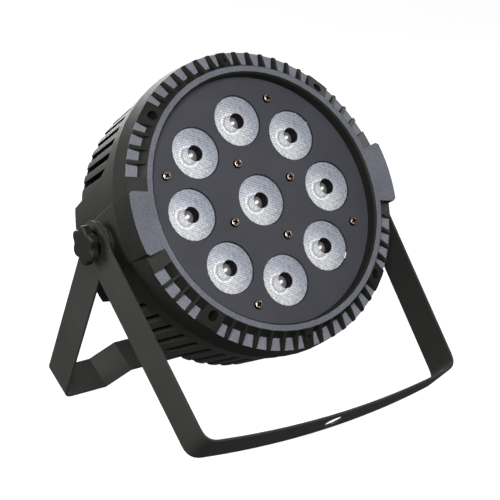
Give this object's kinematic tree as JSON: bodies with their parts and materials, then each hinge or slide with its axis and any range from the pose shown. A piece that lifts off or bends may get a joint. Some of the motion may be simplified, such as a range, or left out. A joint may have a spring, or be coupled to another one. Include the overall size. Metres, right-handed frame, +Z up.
{
  "type": "stage wash light",
  "caption": "Round flat stage wash light with lensed emitters behind a ribbed bezel, standing on two pivoting brackets locked by side knobs.",
  "frame": {"origin": "middle of the footprint, on the surface the brackets stand on", "axes": "+Z up, +X along the pivot that carries both brackets, -Y the way the lenses face, which is tilted up by about 26 degrees"},
  "size_m": [0.243, 0.2058, 0.2382],
  "materials": {
    "bezel_plastic": "charcoal, fine spark-eroded texture on the raised faces",
    "housing_plastic": "dark warm grey, satin moulded",
    "lens_plate": "dark blue-grey, matt paint",
    "lens_clear": "clear moulded plastic with a fine honeycomb face",
    "bronze_screw": "bronze-coloured plating",
    "steel": "zinc plated",
    "bare_aluminium": "mill finish",
    "anodised_black": "black anodised",
    "circuit_board": "solder resist",
    "black_plastic": "black moulded, satin",
    "knob_plastic": "black moulded, satin",
    "brass_insert": "machined",
    "black_rubber": "matt rubber",
    "display_glass": "smoked glossy window",
    "powder_coat": "dark grey powder coat, satin"
  },
  "bodies": {
    "head": {"front_bezel": "bezel_plastic", "led_plate": "lens_plate", "lens_1": "lens_clear", "lens_2": "lens_clear", "lens_3": "lens_clear", "lens_4": "lens_clear", "lens_5": "lens_clear", "lens_6": "lens_clear", "lens_7": "lens_clear", "lens_8": "lens_clear", "lens_9": "lens_clear", "plate_screw_1": "bronze_screw", "plate_screw_2": "bronze_screw", "plate_screw_3": "bronze_screw", "plate_screw_4": "bronze_screw", "plate_screw_5": "bronze_screw", "plate_screw_6": "bronze_screw", "plate_screw_7": "bronze_screw", "plate_screw_8": "bronze_screw", "bezel_screw_1": "steel", "bezel_screw_2": "steel", "bezel_screw_3": "steel", "bezel_screw_4": "steel", "led_board": "bare_aluminium", "heat_sink": "anodised_black", "power_supply": "circuit_board", "rear_housing": "housing_plastic", "back_cover": "housing_plastic", "fan_frame": "black_plastic", "fan_guard": "steel", "control_panel": "black_plastic", "display_window": "display_glass", "display_board": "circuit_board", "cover_screw_1": "steel", "cover_screw_2": "steel", "cover_screw_3": "steel", "dmx_in": "black_plastic", "dmx_out": "black_plastic", "power_in": "black_plastic", "power_out": "black_plastic", "fuse_cap": "black_plastic", "safety_eye": "steel", "insert_left": "brass_insert", "friction_washer_left": "black_rubber", "insert_right": "brass_insert", "friction_washer_right": "black_rubber"},
    "fan": {"fan_rotor": "black_plastic"},
    "front_bracket": {"front_bracket": "powder_coat"},
    "rear_bracket": {"rear_bracket": "powder_coat"},
    "left_clamp": {"washer_left": "steel"},
    "left_knob": {"stud_left": "steel", "knob_left": "knob_plastic"},
    "right_clamp": {"washer_right": "steel"},
    "right_knob": {"stud_right": "steel", "knob_right": "knob_plastic"},
    "button_1": {"menu_button_1": "black_rubber"},
    "button_2": {"menu_button_2": "black_rubber"},
    "button_3": {"menu_button_3": "black_rubber"},
    "button_4": {"menu_button_4": "black_rubber"},
    "latch": {"dmx_latch": "steel"}
  },
  "joints": [
    {"name": "front_bracket_pivot", "type": "hinge", "parent": "head", "child": "front_bracket", "pos_m": [0, 0.00966, 0.12999], "axis": [1, 0, 0], "range_deg": [-115, 40]},
    {"name": "rear_bracket_pivot", "type": "hinge", "parent": "head", "child": "rear_bracket", "pos_m": [0, 0.00966, 0.12999], "axis": [1, 0, 0], "range_deg": [-40, 130]},
    {"name": "fan_spin", "type": "hinge", "parent": "head", "child": "fan", "pos_m": [0, 0.04636, 0.12297], "axis": [0, -0.8961, 0.4439], "continuous": true},
    {"name": "left_clamp_travel", "type": "slide", "parent": "head", "child": "left_clamp", "axis": [-1, 0, 0], "range_m": [0, 0.0025]},
    {"name": "left_knob_turn", "type": "hinge", "parent": "left_clamp", "child": "left_knob", "pos_m": [-0.115, 0.00966, 0.12999], "axis": [-1, 0, 0], "range_deg": [0, 721]},
    {"name": "right_clamp_travel", "type": "slide", "parent": "head", "child": "right_clamp", "axis": [1, 0, 0], "range_m": [0, 0.0025]},
    {"name": "right_knob_turn", "type": "hinge", "parent": "right_clamp", "child": "right_knob", "pos_m": [0.115, 0.00966, 0.12999], "axis": [1, 0, 0], "range_deg": [0, 721]},
    {"name": "button_1_press", "type": "slide", "parent": "head", "child": "button_1", "axis": [0, -0.8961, 0.4439], "range_m": [0, 0.0012], "stiffness_N_per_m": 300, "springref_m": -0.001},
    {"name": "button_2_press", "type": "slide", "parent": "head", "child": "button_2", "axis": [0, -0.8961, 0.4439], "range_m": [0, 0.0012], "stiffness_N_per_m": 300, "springref_m": -0.001},
    {"name": "button_3_press", "type": "slide", "parent": "head", "child": "button_3", "axis": [0, -0.8961, 0.4439], "range_m": [0, 0.0012], "stiffness_N_per_m": 300, "springref_m": -0.001},
    {"name": "button_4_press", "type": "slide", "parent": "head", "child": "button_4", "axis": [0, -0.8961, 0.4439], "range_m": [0, 0.0012], "stiffness_N_per_m": 300, "springref_m": -0.001},
    {"name": "dmx_latch_press", "type": "slide", "parent": "head", "child": "latch", "axis": [0, -0.4439, -0.8961], "range_m": [0, 0.0012], "stiffness_N_per_m": 300, "springref_m": -0.001}
  ],
  "couplings": [
    {"joint": "left_knob_turn", "follows": "left_clamp_travel", "rad_per_m": 5026.5},
    {"joint": "right_knob_turn", "follows": "right_clamp_travel", "rad_per_m": 5026.5}
  ]
}
